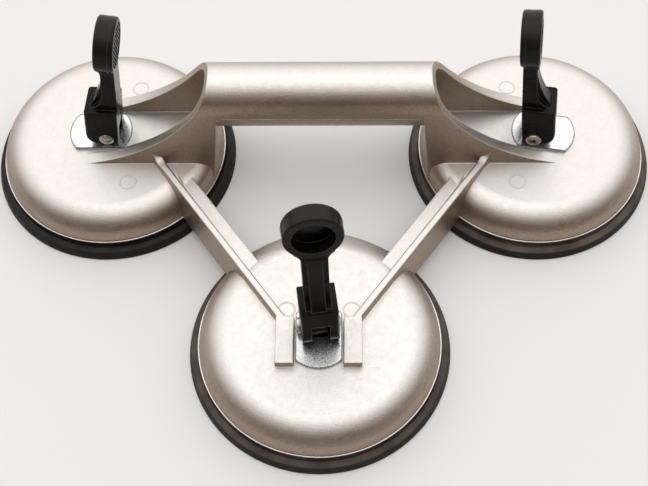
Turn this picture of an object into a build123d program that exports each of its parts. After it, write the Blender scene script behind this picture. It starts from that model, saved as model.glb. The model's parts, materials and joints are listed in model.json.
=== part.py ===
"""Triple suction cup lifter: a cast frame with one grip, three rubber pads and three cam levers.

Millimetres, +Z up. The origin is on the contact plane, midway between the front cup and the rear cups.
The grip runs along X above the two rear cups, and the levers are released, standing upright.
"""

import os
from math import acos, atan2, cos, hypot, pi, radians, sin, sqrt, tan

from build123d import *

# Layout of the cups
rear_cup_spacing = 207.0
cup_row_spacing = 106.0

# Rubber pad
pad_rim_overhang = 4.8
pad_edge_height = 1.6
pad_edge_taper = 0.4
pad_lip_width = 3.4
pad_lip_height = 6.2
pad_groove_width = 2.0
pad_groove_depth = 0.8
pad_web = 4.2
pad_dish_depth = 0.8
pad_seal_width = 12.0
pad_ring_width = 6.5
pad_ring_slope = 3.0

# Shell of each cup
rim_height = 7.5
shell_rim_radius = 55.0
rim_band_height = 1.0
rim_band_step = 0.5
shell_top_height = 21.5
shoulder_run = 14.8
shoulder_radius = 10.0
shell_wall = 4.0
foot_round = 8.0
foot_draft = 0.4

# Grip
grip_radius = 14.8
grip_height = 52.0
grip_wall = 3.5
grip_core_depth = 26.0

# Shrouds that carry the grip on the rear shells
hand_gap = 96.0
post_slant = 3.0
shroud_foot_half_width = 18.4
channel_half_width = 12.6
post_wall = 4.0
scoop_run = 83.6
scoop_rise = 79.8
scoop_reach = 23.3
scoop_sink = 0.4
scoop_draft = 2.0

# Struts between the front shell and the rear shells
strut_rear_inset = 19.5
strut_rear_setback = 13.2
strut_rib_width = 3.4
strut_width = 10.2
strut_wall = 3.2
strut_draft = 2.4
strut_shelf_drop = 0.5
strut_flange_drop = 9.0
strut_edge_round = 0.9
strut_toe_start = 4.6
strut_toe_round = 6.5

# Lands beside the front wear plate
land_height = 4.0
land_width = 8.0
land_front_reach = 18.5
land_rear_reach = 4.0

# Wear plate
plate_radius = 15.25
plate_flats = 20.4
plate_thickness = 1.5
plate_side_gap = 0.8
plate_offset = 4.6

# Pull stud and backing disc
disc_radius = 38.0
disc_thickness = 2.5
stud_width = 8.0
stud_thickness = 7.0
stud_tail_radius = 3.0
eye_radius = 4.6
stud_slot_gap = 0.6
stud_hole_gap = 0.7

# Return spring
spring_wire = 1.6
spring_turns = 2.5
spring_top_radius = 8.5
spring_bottom_radius = 13.0
spring_end_gap = 0.3

# Cam lever
cam_low = 4.0
cam_lift = 6.0
cam_gap = 0.1
lean_angle = 8.0
locked_angle = 90.0
block_inward = 5.7
block_height = 20.5
block_width = 16.5
fork_gap = 0.5
fork_inward_height = 6.0
fork_window_height = 11.0
fork_window_wall = 2.2
block_corner_round = 1.5
arm_width = 11.2
arm_thickness = 6.8
flare_height = 12.0
flare_setback = 3.2
gusset_width = 6.2
gusset_height = 27.0
gusset_setback = 2.2
neck_inward = 4.9
head_distance = 62.5
head_radius = 12.5
head_inward = 6.2
head_thickness = 8.8
dish_radius = 9.0
dish_depth = 5.8
thumb_recess_radius = 10.4
thumb_recess_depth = 0.5
neck_round = 5.0
lever_edge_round = 0.6

# Rivet pin
pin_radius = 2.5
pin_fit = 0.05
rivet_head_radius = 3.6
rivet_head_height = 1.8
rivet_bore_radius = 1.4
rivet_bore_depth = 4.0

# Play of the levers and plates about their studs, in degrees, as they stand
left_lever_turn = -3.0
right_lever_turn = -8.9
front_lever_turn = 8.0
left_plate_turn = 0.0
right_plate_turn = -8.9
front_plate_turn = 0.0

# Worked-out radii
shell_flat_radius = shell_rim_radius - rim_band_step - shoulder_run
pad_radius = shell_rim_radius + pad_rim_overhang
pad_dish_radius = pad_radius - pad_seal_width - pad_dish_depth

# Worked-out heights
pad_seat = pad_web + pad_dish_depth
disc_top = pad_seat + disc_thickness
shell_underside = shell_top_height - shell_wall
plate_top = shell_top_height + plate_thickness
pin_height = plate_top + cam_gap + cam_low
rib_top = shell_top_height + land_height
cam_rate = cam_lift / radians(locked_angle + lean_angle)

# Centre of each cup in plan
rear_x = rear_cup_spacing / 2
row_y = cup_row_spacing / 2
cups = {
    "left": (-rear_x, row_y),
    "right": (rear_x, row_y),
    "front": (0.0, -row_y),
}

# Ends of the left strut in plan, and the direction across it towards the open middle
strut_rear = Vector(-rear_x + strut_rear_inset, row_y - strut_rear_setback)
strut_front = Vector(-plate_flats / 2 - plate_side_gap - land_width, -row_y + land_rear_reach)
strut_along = strut_front - strut_rear
strut_across = Vector(-strut_along.Y, strut_along.X).normalized()

# Headings of the levers' outward swing, and of the plates under them
lever_headings = {
    "left": 180 + left_lever_turn,
    "right": right_lever_turn,
    "front": -90 + front_lever_turn,
}
plate_headings = {
    "left": 180 + left_plate_turn,
    "right": right_plate_turn,
    "front": -90 + front_plate_turn,
}

# Shoulder of the shell: an arc that leaves the flat top level, then a cone down to the rim band
shoulder_height = shell_top_height - shoulder_radius
cone_foot_rise = rim_height + rim_band_height - shoulder_height
shoulder_angle = atan2(cone_foot_rise, shoulder_run)
shoulder_angle += acos(shoulder_radius / hypot(shoulder_run, cone_foot_rise))


def shoulder_point(radius, angle):
    """Point on an arc about the shoulder's centre, as (distance from the cup axis, height)."""
    return (shell_flat_radius + radius * cos(angle), shoulder_height + radius * sin(angle))


def shoulder(inset, foot_height):
    """Cone and arc of the shoulder, set in by a distance, from a given height up to the level flat."""
    radius = shoulder_radius - inset
    touch = shoulder_point(radius, shoulder_angle)
    fall = (touch[1] - foot_height) / cos(shoulder_angle)
    cone = Line((touch[0] + fall * sin(shoulder_angle), foot_height), touch)
    middle = shoulder_point(radius, (shoulder_angle + pi / 2) / 2)
    return [cone, ThreePointArc(touch, middle, shoulder_point(radius, pi / 2))]


def asin_of(ratio):
    """Arc sine in radians."""
    return atan2(ratio, sqrt(1 - ratio * ratio))


def spun(*lines):
    """Solid of revolution about Z of a closed outline drawn in the XZ plane."""
    outline = make_face(Curve() + list(lines))
    return revolve(Plane.XZ * outline, Axis.Z)


def shell_outside():
    """Solid shell with a narrow band at its rim."""
    cone, arc = shoulder(0, rim_height + rim_band_height)
    base = Polyline(
        arc @ 1,
        (0, shell_top_height),
        (0, rim_height),
        (shell_rim_radius, rim_height),
        (shell_rim_radius, rim_height + rim_band_height),
        cone @ 0,
    )
    return spun(cone, arc, base)


def shell_hollow():
    """Space under the shell, one wall inside it, open at the rim."""
    cone, arc = shoulder(shell_wall, rim_height)
    mouth = cone @ 0
    base = Polyline(
        arc @ 1,
        (0, shell_underside),
        (0, 0),
        (mouth.X, 0),
        mouth,
    )
    return spun(cone, arc, base)


def left_foot():
    """Fuller shoulder of the left rear shell, from the strut's middle round to the shroud's far wall."""
    rim = shell_rim_radius - rim_band_step
    arc = CenterArc((rim - foot_draft - foot_round, shell_top_height - foot_round), foot_round, 0, 90)
    base = Polyline(
        arc @ 1,
        (0, shell_top_height),
        (0, rim_height),
        (rim, rim_height),
        (rim, rim_height + rim_band_height),
        arc @ 0,
    )
    near = strut_rear + strut_across * strut_width / 2
    front = strut_front + strut_across * strut_width / 2
    far = row_y + (channel_half_width + shroud_foot_half_width) / 2
    plan = Polyline(near, front, (0, front.Y), (0, far), (near.X, far), close=True)
    return Pos(*cups["left"]) * spun(arc, base) & extrude(make_face(plan), shell_top_height)


def arch_face(radius, foot_half_width, bottom):
    """Arch in the YZ plane: a round top about the grip's axis, and tangent sides that spread to the feet."""
    drop = grip_height - shell_top_height
    reach = hypot(foot_half_width, drop)
    angle = atan2(-drop, foot_half_width) + acos(radius / reach)
    touch_y = radius * cos(angle)
    touch_z = grip_height + radius * sin(angle)
    spread = (foot_half_width - touch_y) / (touch_z - shell_top_height)
    foot = touch_y + spread * (touch_z - bottom)
    crown = ThreePointArc((touch_y, touch_z), (0, grip_height + radius), (-touch_y, touch_z))
    sides = Polyline((-touch_y, touch_z), (-foot, bottom), (foot, bottom), (touch_y, touch_z))
    return make_face(Curve() + [crown, sides])


def along_x(face, start, end, y):
    """Solid of a YZ face carried along X from start to end, at a given Y."""
    return Pos(start, y, 0) * extrude(Plane.YZ * face, end - start)


def right_shroud():
    """Arch over the right rear shell: a slanted post, and a top swept down by a drafted elliptical scoop."""
    foot = rear_x + scoop_reach
    post = hand_gap / 2
    slope = post_slant / (grip_height - shell_top_height)
    toe = post + slope * (grip_height - rim_height)
    arch = along_x(arch_face(grip_radius, shroud_foot_half_width, rim_height), post, foot, row_y)
    wedge = Polyline((post, grip_height), (toe, rim_height), (post, rim_height), close=True)
    arch -= Pos(0, row_y, 0) * extrude(Plane.XZ * make_face(wedge), 2 * shroud_foot_half_width, both=True)
    bottom = shell_top_height - scoop_sink
    face = Plane.XZ * Ellipse(scoop_run, scoop_rise)
    scoop = extrude(face, shroud_foot_half_width * 2, both=True, taper=-scoop_draft)
    return arch - Pos(foot, row_y, bottom + scoop_rise) * scoop


def right_core():
    """Open channel along the right shroud, with a round core that runs on into the grip."""
    radius = grip_radius - grip_wall
    mouth = hand_gap / 2 + post_slant + post_wall
    channel = arch_face(radius, channel_half_width, shell_top_height)
    core = along_x(channel, mouth, rear_x + scoop_reach, row_y)
    bore = extrude(Plane.YZ * Circle(radius), grip_core_depth)
    return core + Pos(mouth - grip_core_depth, row_y, grip_height) * bore


def left_strut():
    """Strut from the left shroud to the front shell's left land: a tall rib, a shelf and a short flange.

    The rib's rear end sweeps up the shroud's wall.
    """
    shelf = shell_top_height - strut_shelf_drop
    flange = shelf - strut_flange_drop
    ceiling = shelf - strut_wall
    outline = Polyline(
        (-strut_draft, rim_height),
        (0, rib_top),
        (strut_rib_width, rib_top),
        (strut_rib_width, shelf),
        (strut_width, shelf),
        (strut_width, flange),
        (strut_width - strut_wall, flange),
        (strut_width - strut_wall, ceiling),
        (strut_wall, ceiling),
        (strut_wall - strut_draft, rim_height),
        close=True,
    )
    section = make_face(outline)
    crests = section.vertices().group_by(Axis.Y)[-1]
    section = fillet(crests, strut_edge_round)
    base = Plane(origin=strut_rear, x_dir=strut_across, z_dir=strut_along)
    strut = extrude(base * section, strut_along.length + strut_rib_width)
    toe_end = strut_toe_start + strut_toe_round
    toe_top = rib_top + strut_toe_round
    toe_arc = CenterArc((toe_end, toe_top), strut_toe_round, 180, 90)
    toe_sides = Polyline(toe_arc @ 1, (toe_end, shelf), (0, shelf), (0, toe_top), toe_arc @ 0)
    side = Plane(origin=strut_rear, x_dir=strut_along, z_dir=-strut_across)
    toe = extrude(side * make_face(Curve() + [toe_arc, toe_sides]), -strut_rib_width)
    return strut + toe


def left_land():
    """Raised rectangle beside the front wear plate."""
    length = land_front_reach + land_rear_reach
    inner = plate_flats / 2 + plate_side_gap
    sunk = shell_wall / 2
    land = Box(land_width, length, land_height + sunk, align=(Align.MAX, Align.MIN, Align.MIN))
    return Pos(-inner, -row_y - land_front_reach, shell_top_height - sunk) * land


def stud_hole():
    """Round hole for a stud through a shell's flat top."""
    radius = hypot(stud_width, stud_thickness) / 2 + stud_hole_gap
    return Pos(0, 0, shell_underside) * extrude(Circle(radius), 2 * shell_wall, both=True)


def at_cup(name, shape):
    """A piece centred on a cup and turned to the heading of its plate."""
    x, y = cups[name]
    return Pos(x, y, 0) * Rot(0, 0, plate_headings[name]) * shape


def at_stud(name, shape):
    """A piece centred on a cup's stud and turned to the heading of its lever."""
    play = lever_headings[name] - plate_headings[name]
    return at_cup(name, Rot(0, 0, play) * shape)


def mirrored(shape):
    """A piece with its copy mirrored across the lifter's centre plane."""
    return shape + mirror(shape, Plane.YZ)


def frame_casting():
    """One casting: three shells, grip, shrouds, struts and lands, cored below and along the shrouds."""
    grip_end = hand_gap / 2 + post_slant
    grip = along_x(Circle(grip_radius), -grip_end, grip_end, 0)
    casting = Pos(0, row_y, grip_height) * grip
    casting += mirrored(right_shroud())
    for name in cups:
        casting += Pos(*cups[name]) * shell_outside()
    casting += mirrored(left_foot())
    casting += mirrored(left_strut())
    casting += mirrored(left_land())
    for name in cups:
        casting -= Pos(*cups[name]) * shell_hollow()
    casting -= mirrored(right_core())
    for name in cups:
        casting -= at_stud(name, stud_hole())
    return casting


def rubber_pad():
    """Moulded pad: a coned lip, a groove, a ring under the shell rim, and a thin web under the disc."""
    edge = pad_radius - pad_edge_taper
    lip = edge - pad_lip_width
    ring_outer = lip - pad_groove_width
    ring_inner = ring_outer - pad_ring_width
    groove = pad_lip_height - pad_groove_depth
    outline = Polyline(
        (0, pad_dish_depth),
        (pad_dish_radius, pad_dish_depth),
        (pad_dish_radius + pad_dish_depth, 0),
        (pad_radius, 0),
        (edge, pad_edge_height),
        (lip, pad_lip_height),
        (lip - pad_groove_depth, groove),
        (ring_outer, groove),
        (ring_outer, rim_height),
        (ring_inner, rim_height),
        (ring_inner - pad_ring_slope, pad_seat),
        (0, pad_seat),
        close=True,
    )
    return spun(outline)


def backing_disc():
    """Steel disc with a hole for the stud's riveted tail."""
    return Pos(0, 0, pad_seat) * extrude(Circle(disc_radius) - Circle(stud_tail_radius), disc_thickness)


def pull_stud():
    """Flat bar with a round eye for the pin, and a round tail through the disc."""
    shank = Rectangle(stud_width, pin_height - disc_top, align=(Align.CENTER, Align.MIN))
    profile = Pos(0, disc_top) * shank + Pos(0, pin_height) * Circle(eye_radius)
    profile -= Pos(0, pin_height) * Circle(pin_radius + pin_fit)
    bar = extrude(Plane.XZ * profile, stud_thickness / 2, both=True)
    tail = Pos(0, 0, pad_seat) * extrude(Circle(stud_tail_radius), disc_thickness)
    return bar + tail


def wear_plate():
    """Round washer with two flats, set outward of the cup's axis, and a slot that guides the stud."""
    blank = Circle(plate_radius) & Rectangle(2 * plate_radius, plate_flats)
    slot = Rectangle(stud_width + 2 * stud_slot_gap, stud_thickness + 2 * stud_slot_gap)
    plate = Pos(plate_offset, 0) * blank - slot
    return Pos(0, 0, shell_top_height) * extrude(plate, plate_thickness)


def biarc(start, start_way, end, end_way):
    """Two tangent arcs from start to end that leave and arrive along the given directions."""
    span = end - start
    both = start_way + end_way
    bend = 2 * (1 - start_way.dot(end_way))
    lean = span.dot(both)
    reach = (sqrt(lean * lean + bend * span.dot(span)) - lean) / bend
    middle = (start + end + (start_way - end_way) * reach) * 0.5
    first = Edge.make_tangent_arc(start, start_way, middle)
    second = Edge.make_tangent_arc(middle, first % 1, end)
    return [first, second]


def spring_place(share):
    """Point on the spring's centre line, a conical helix, at a share of its length from the bottom."""
    low = disc_top + spring_wire / 2 + spring_end_gap
    high = shell_underside - spring_wire / 2 - spring_end_gap
    radius = spring_bottom_radius + (spring_top_radius - spring_bottom_radius) * share
    turn = 2 * pi * spring_turns * share
    return Vector(radius * cos(turn), radius * sin(turn), low + (high - low) * share)


def spring_way(share):
    """Direction of the spring's centre line at a share of its length."""
    step = 1e-4
    return (spring_place(share + step) - spring_place(share - step)).normalized()


def return_spring():
    """Conical wire spring, one unbroken tube swept along quarter-turn biarcs."""
    quarters = round(4 * spring_turns)
    arcs = []
    for quarter in range(quarters):
        low = quarter / quarters
        high = (quarter + 1) / quarters
        arcs += biarc(spring_place(low), spring_way(low), spring_place(high), spring_way(high))
    path = Wire(arcs)
    section = Plane(origin=path @ 0, z_dir=path % 0) * Circle(spring_wire / 2)
    return sweep(section, path=path)


def spring_self_gap():
    """Least clear distance between the spring's turns, measured on points along its centre line."""
    count = 200
    per_turn = count / spring_turns
    points = [spring_place(i / count) for i in range(count + 1)]
    pairs = [(p, q) for i, p in enumerate(points) for j, q in enumerate(points) if j - i > per_turn / 2]
    return min((p - q).length for p, q in pairs) - spring_wire


def cam_point(angle):
    """Cam surface in the upright lever's frame, (outward, up) from the pin.

    Its height under the pin grows evenly with the swing, so it is an involute.
    """
    turn = radians(angle)
    height = cam_low + cam_rate * (turn + radians(lean_angle))
    outward = height * sin(turn) + cam_rate * cos(turn)
    up = -height * cos(turn) + cam_rate * sin(turn)
    return (outward, up)


def block_top(outward):
    """Height of the block's top face above the pin; it is parallel to the rest flat."""
    return block_height - outward * tan(radians(lean_angle))


def lever_block():
    """Cam block with its rest flat, involute corner and locking face."""
    steps = 6
    sweep_angle = locked_angle + lean_angle
    angles = [-lean_angle + sweep_angle * i / steps for i in range(steps + 1)]
    points = [cam_point(angle) for angle in angles]
    cam = Spline(*points)
    heel_up = points[0][1] + (points[0][0] + block_inward) * tan(radians(lean_angle))
    toe = points[-1][0]
    crest = [(toe, block_top(toe)), (-block_inward, block_top(-block_inward))]
    rest = Polyline(points[-1], *crest, (-block_inward, heel_up), points[0])
    cheeks = extrude(Plane.XZ * make_face(Curve() + [cam, rest]), block_width / 2, both=True)
    outline = Polyline(*crest, (-block_inward, -block_height), (toe, -block_height), close=True)
    blank = extrude(Plane.XZ * make_face(outline), block_width / 2, both=True)
    blank = fillet(blank.edges().filter_by(Axis.Z).group_by(Axis.X)[-1], block_corner_round)
    blank = fillet(blank.edges().filter_by(Axis.Z).group_by(Axis.X)[0], lever_edge_round)
    return cheeks & fillet(blank.faces().sort_by(Axis.Z)[-1].edges(), lever_edge_round)


def lever_fork():
    """Space in the block for the stud: right through under the pin, and a window in the outward face."""
    reach = 2 * block_height
    outline = Polyline(
        (-reach, -reach),
        (-reach, fork_inward_height),
        (-block_inward + fork_window_wall, fork_inward_height),
        (-block_inward + fork_window_wall, fork_window_height),
        (reach, fork_window_height),
        (reach, -reach),
        close=True,
    )
    width = stud_thickness + 2 * fork_gap
    return extrude(Plane.XZ * make_face(outline), width / 2, both=True)


def arm_web(width, height, setback):
    """Web on the arm's outward face, its edge an arc that leaves the arm and runs down to the block's top."""
    face = -block_inward + arm_thickness
    toe = cam_point(locked_angle)[0] - setback
    foot = block_top(toe)
    sunk = foot - lever_edge_round
    edge = TangentArc((face, foot + height), (toe, foot), tangent=(0, -1))
    sides = Polyline(edge @ 1, (toe, sunk), (0, sunk), (0, foot + height), edge @ 0)
    return extrude(Plane.XZ * make_face(Curve() + [edge, sides]), width / 2, both=True)


def lever_arm():
    """Arm on the block's inward side, thinner towards the head, with a low flare and a narrow gusset."""
    face = -block_inward + arm_thickness
    sunk = block_top(face) - lever_edge_round
    outline = Polyline(
        (-block_inward, sunk),
        (face, sunk),
        (face, head_distance),
        (-neck_inward, head_distance),
        (-block_inward, block_top(-block_inward)),
        close=True,
    )
    arm = extrude(Plane.XZ * make_face(outline), arm_width / 2, both=True)
    flare = arm_web(arm_width, flare_height, flare_setback)
    return arm + flare + arm_web(gusset_width, gusset_height, gusset_setback)


def lever_head():
    """Round thumb head with a neck that runs into the arm."""
    face = -block_inward + arm_thickness
    disc = Pos(0, head_distance) * Circle(head_radius)
    stalk = Pos(0, head_distance) * Rectangle(arm_width, 2 * head_radius, align=(Align.CENTER, Align.MAX))
    outline = disc + stalk
    inner = [v for v in outline.vertices() if head_distance - head_radius < v.Y < head_distance]
    outline = fillet(inner, neck_round)
    neck = Pos(-neck_inward, 0, 0) * extrude(Plane.YZ * outline, face + neck_inward)
    puck = extrude(Plane.YZ * disc, head_thickness)
    puck = fillet(puck.edges().filter_by(GeomType.CIRCLE), 2 * lever_edge_round)
    return Pos(-head_inward, 0, 0) * puck + neck


def head_hollows():
    """Deep dish on the head's outward side, and a shallow recess for the thumb on its inward side."""
    dish = extrude(Plane.YZ * Circle(dish_radius), -dish_depth)
    recess = extrude(Plane.YZ * Circle(thumb_recess_radius), thumb_recess_depth)
    hollows = Pos(head_thickness, 0, 0) * dish + recess
    return Pos(-head_inward, 0, head_distance) * hollows


def cam_lever():
    """Lever standing upright, with its pin axis at the origin along Y."""
    lever = lever_block() + lever_arm() + lever_head() - head_hollows() - lever_fork()
    return lever - extrude(Plane.XZ * Circle(pin_radius + pin_fit), block_width, both=True)


def rivet_pin():
    """Semi-tubular rivet along Y, its domed head at +Y and its rolled hollow tail at -Y."""
    half = block_width / 2
    dome_rise = rivet_head_height
    crown = (rivet_head_radius**2 + dome_rise**2) / (2 * dome_rise)
    lip = rivet_head_height / 2
    tail = -half - rivet_head_height
    dome = ThreePointArc(
        (rivet_head_radius, half),
        (crown * sin(asin_of(rivet_head_radius / crown) / 2),
         half + dome_rise - crown * (1 - cos(asin_of(rivet_head_radius / crown) / 2))),
        (0, half + dome_rise),
    )
    roll = ThreePointArc(
        (rivet_head_radius - lip, tail),
        (rivet_head_radius - lip + lip * cos(pi / 4), tail + lip - lip * sin(pi / 4)),
        (rivet_head_radius, tail + lip),
    )
    body = Polyline(
        dome @ 1,
        (0, tail + rivet_bore_depth),
        (rivet_bore_radius, tail + rivet_bore_depth),
        (rivet_bore_radius, tail),
        roll @ 0,
    )
    shank = Polyline(
        roll @ 1,
        (rivet_head_radius, -half),
        (pin_radius, -half),
        (pin_radius, half),
        dome @ 0,
    )
    face = make_face(Curve() + [dome, body, roll, shank])
    return revolve(face, Axis.Y)


def at_pin(shape):
    """A lever's piece, leaned inward to its rest flat and lifted to the pin."""
    return Pos(0, 0, pin_height) * Rot(0, -lean_angle, 0) * shape


os.makedirs("parts", exist_ok=True)
cup_pieces = {
    "rubber_pad": rubber_pad(),
    "wear_plate": wear_plate(),
}
stud_pieces = {
    "backing_disc": backing_disc(),
    "pull_stud": pull_stud(),
    "return_spring": return_spring(),
    "cam_lever": at_pin(cam_lever()),
    "rivet_pin": at_pin(rivet_pin()),
}
export_step(frame_casting(), "parts/frame_casting.step")
for cup in cups:
    for piece, shape in cup_pieces.items():
        export_step(at_cup(cup, shape), f"parts/{cup}_{piece}.step")
    for piece, shape in stud_pieces.items():
        export_step(at_stud(cup, shape), f"parts/{cup}_{piece}.step")
print(f"spring self gap {spring_self_gap():.2f} mm")
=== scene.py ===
"""Looks of a triple suction cup lifter: a cast frame, three rubber pads, springs and cam levers.

Laid out as an add-on and run as a script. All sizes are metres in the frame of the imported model,
whose origin lies on the plane that the cups seal against, with +Z up and +X along the grip.
"""

import json
import math

import bmesh
import bpy
import numpy as np
from bpy.props import FloatProperty, FloatVectorProperty, IntProperty, PointerProperty
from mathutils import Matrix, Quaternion, Vector


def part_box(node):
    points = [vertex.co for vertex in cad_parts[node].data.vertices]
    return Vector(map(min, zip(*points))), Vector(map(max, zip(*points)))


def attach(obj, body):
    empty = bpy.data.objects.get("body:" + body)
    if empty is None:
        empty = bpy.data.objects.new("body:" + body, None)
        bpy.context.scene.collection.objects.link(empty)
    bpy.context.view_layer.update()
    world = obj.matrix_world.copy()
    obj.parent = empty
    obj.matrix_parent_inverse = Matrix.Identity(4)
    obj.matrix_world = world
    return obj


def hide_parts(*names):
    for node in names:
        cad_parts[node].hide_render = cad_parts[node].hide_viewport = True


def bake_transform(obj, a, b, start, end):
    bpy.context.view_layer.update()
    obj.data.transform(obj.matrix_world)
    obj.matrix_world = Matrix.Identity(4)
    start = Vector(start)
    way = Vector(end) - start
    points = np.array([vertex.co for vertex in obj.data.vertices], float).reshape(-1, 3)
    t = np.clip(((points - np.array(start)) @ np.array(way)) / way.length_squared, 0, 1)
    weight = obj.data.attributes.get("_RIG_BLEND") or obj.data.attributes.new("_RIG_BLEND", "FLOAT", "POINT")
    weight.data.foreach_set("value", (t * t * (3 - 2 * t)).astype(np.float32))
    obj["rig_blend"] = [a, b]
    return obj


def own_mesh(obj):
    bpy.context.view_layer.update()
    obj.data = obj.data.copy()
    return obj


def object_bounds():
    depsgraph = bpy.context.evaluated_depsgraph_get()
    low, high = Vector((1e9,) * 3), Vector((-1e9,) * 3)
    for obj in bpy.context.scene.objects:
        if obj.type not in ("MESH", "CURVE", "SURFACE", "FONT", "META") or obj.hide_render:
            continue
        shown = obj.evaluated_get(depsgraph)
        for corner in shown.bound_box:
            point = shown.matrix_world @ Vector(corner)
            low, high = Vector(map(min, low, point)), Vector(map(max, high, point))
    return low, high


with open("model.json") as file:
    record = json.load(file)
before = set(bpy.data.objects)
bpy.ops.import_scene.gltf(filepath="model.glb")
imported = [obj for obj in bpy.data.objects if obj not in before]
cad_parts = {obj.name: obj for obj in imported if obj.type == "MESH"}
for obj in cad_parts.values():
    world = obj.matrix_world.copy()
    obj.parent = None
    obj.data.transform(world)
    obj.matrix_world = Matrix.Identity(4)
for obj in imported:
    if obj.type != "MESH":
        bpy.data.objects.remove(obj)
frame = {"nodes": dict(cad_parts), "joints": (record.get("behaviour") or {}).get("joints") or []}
cad_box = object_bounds()

bl_info = {
    "name": "Triple suction cup lifter",
    "version": (1, 0, 0),
    "blender": (4, 5, 0),
    "location": "3D View > Sidebar > Lifter",
    "description": "Pads, springs, thumb grips, casting marks and finishes of a suction cup lifter",
    "category": "Object",
}

MM = 0.001
FULL_TURN = 2 * math.pi
CUPS = ("left", "right", "front")
NODES = frame["nodes"]
JOINTS = {joint["name"]: joint for joint in frame["joints"]}


def middle_of(node):
    """Centre of a node's box."""
    low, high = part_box(node)
    return (low + high) / 2


def half_width(node):
    """Half of a node's extent along X."""
    low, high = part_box(node)
    return (high.x - low.x) / 2


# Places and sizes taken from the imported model
PAD_CENTRES = {cup: middle_of(f"{cup}_rubber_pad") for cup in CUPS}
PAD_RADIUS = half_width("left_rubber_pad")
PAD_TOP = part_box("left_rubber_pad")[1].z
DISC_RADIUS = half_width("left_backing_disc")
DISC_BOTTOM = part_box("left_backing_disc")[0].z
SHELL_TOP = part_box("left_wear_plate")[0].z
GRIP_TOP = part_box("frame_casting")[1].z
RIM_RADIUS = PAD_CENTRES["front"].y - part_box("frame_casting")[0].y
GRIP_LINE_Y = PAD_CENTRES["left"].y
SPRING_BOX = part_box("left_return_spring")
PIN_HEIGHT = JOINTS["left_lever_swing"]["pos_m"][2]
LEAN = math.radians(JOINTS["left_lever_swing"]["range_deg"][1] - 90)

# Ejector marks on each shell, from the cup's middle, in millimetres
EJECTOR_MARKS = {
    "left": [(12.3, 27.0), (11.0, -29.0)],
    "right": [(-10.8, 27.0), (-9.8, -29.0)],
    "front": [(-14.6, 8.9), (14.6, 8.9)],
}

# Share of dusty bloom on each pad's lip, and on the rest of the pad as a part of it
PAD_BLOOM = {"left": 0.05, "right": 0.8, "front": 0.6}
CLEAN_BLOOM = 0.06

# Sizes of the patterns in the finishes
CAST_CLOUD = 5 * MM
CAST_MOTTLE = 3 * MM
CAST_WAVE = 9 * MM
RUBBER_PATCH = 11 * MM
RUBBER_MOTTLE = 2.5 * MM
RUBBER_GRAIN = 0.9 * MM
RUBBER_RING = 0.35 * MM
PLASTIC_PATCH = 9 * MM
PLASTIC_MOTTLE = 2 * MM
PLASTIC_GRAIN = 0.45 * MM
PLASTIC_EDGE = 0.6 * MM
METAL_CLOUD = 6 * MM

# Z of the normal at which the casting's painted shade is full (dark brown sides), and gone (bare metal)
SIDEWAYS_Z = 0.56
UPWARD_Z = 0.985

# Steps of the meshes; where there are two, along or outwards first and then round
SHELL_STEPS = 256
SHOULDER_STEPS = 33
CHORD_STEPS = 12
MARK_STEPS = 72
OVAL_STEPS = 12
FLASH_STEPS = (160, 10)
SPRING_STEPS = (240, 16)
GRIP_STEPS = (90, 240)
SEAM_STEPS = (120, 8)
NECK_STEPS = 24

# Samples of the edge-rounding node
BEVEL_SAMPLES = 6


class LifterCasting(bpy.types.PropertyGroup):
    """Finish of the casting, and sizes of its shoulders, rims and mould marks."""

    colour: FloatVectorProperty(
        name="Metal", description="Colour of the bare metal",
        subtype="COLOR", default=(0.715, 0.692, 0.665))
    shade: FloatVectorProperty(
        name="Dull metal", description="Colour of the duller patches",
        subtype="COLOR", default=(0.625, 0.597, 0.563))
    # Painted shade: this darker, browner colour is painted on the casting where it faces sideways or down.
    side: FloatVectorProperty(
        name="Side metal", description="Colour of the browner skin that faces sideways or down",
        subtype="COLOR", default=(0.41, 0.327, 0.260))
    # Partly real, partly painted: this is the trimmed rims' own colour, and on edges that face up it is
    # partly polish and partly a painted highlight.
    trimmed: FloatVectorProperty(
        name="Trimmed edge", description="Colour of the trimmed rims and polished edges",
        subtype="COLOR", default=(0.80, 0.78, 0.76))
    roughness: FloatProperty(
        name="Roughness", description="Roughness of the blasted skin",
        subtype="FACTOR", default=0.40, min=0, max=1)
    trimmed_roughness: FloatProperty(
        name="Trimmed roughness", description="Roughness of the trimmed rims",
        subtype="FACTOR", default=0.3, min=0, max=1)
    grain: FloatProperty(
        name="Grain", description="Size of the blasted grain", unit="LENGTH", default=0.45 * MM)
    edge: FloatProperty(
        name="Edge", description="Softening of the edges", unit="LENGTH", default=0.9 * MM)
    rim_top: FloatProperty(
        name="Rim top", description="Height of the rim band's top", unit="LENGTH", default=8.5 * MM)
    rim_step: FloatProperty(
        name="Rim step", description="Step in from the rim band", unit="LENGTH", default=0.5 * MM)
    shoulder: FloatProperty(
        name="Shoulder", description="Run of a shell's shoulder from its flat to its rim",
        unit="LENGTH", default=14.3 * MM)
    mark_radius: FloatProperty(
        name="Mark radius", description="Radius of an ejector mark", unit="LENGTH", default=3.8 * MM)
    mark_width: FloatProperty(
        name="Mark width", description="Width of the ring round an ejector mark",
        unit="LENGTH", default=0.7 * MM)
    mark_height: FloatProperty(
        name="Mark height", description="Height of that ring", unit="LENGTH", default=0.18 * MM)
    grip_radius: FloatProperty(
        name="Grip radius", description="Radius of the grip", unit="LENGTH", default=14.8 * MM)
    flash_length: FloatProperty(
        name="Flash length", description="Length of the parting line on the grip",
        unit="LENGTH", default=95 * MM)
    flash_height: FloatProperty(
        name="Flash height", description="Height of the parting line", unit="LENGTH", default=0.16 * MM)


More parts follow.
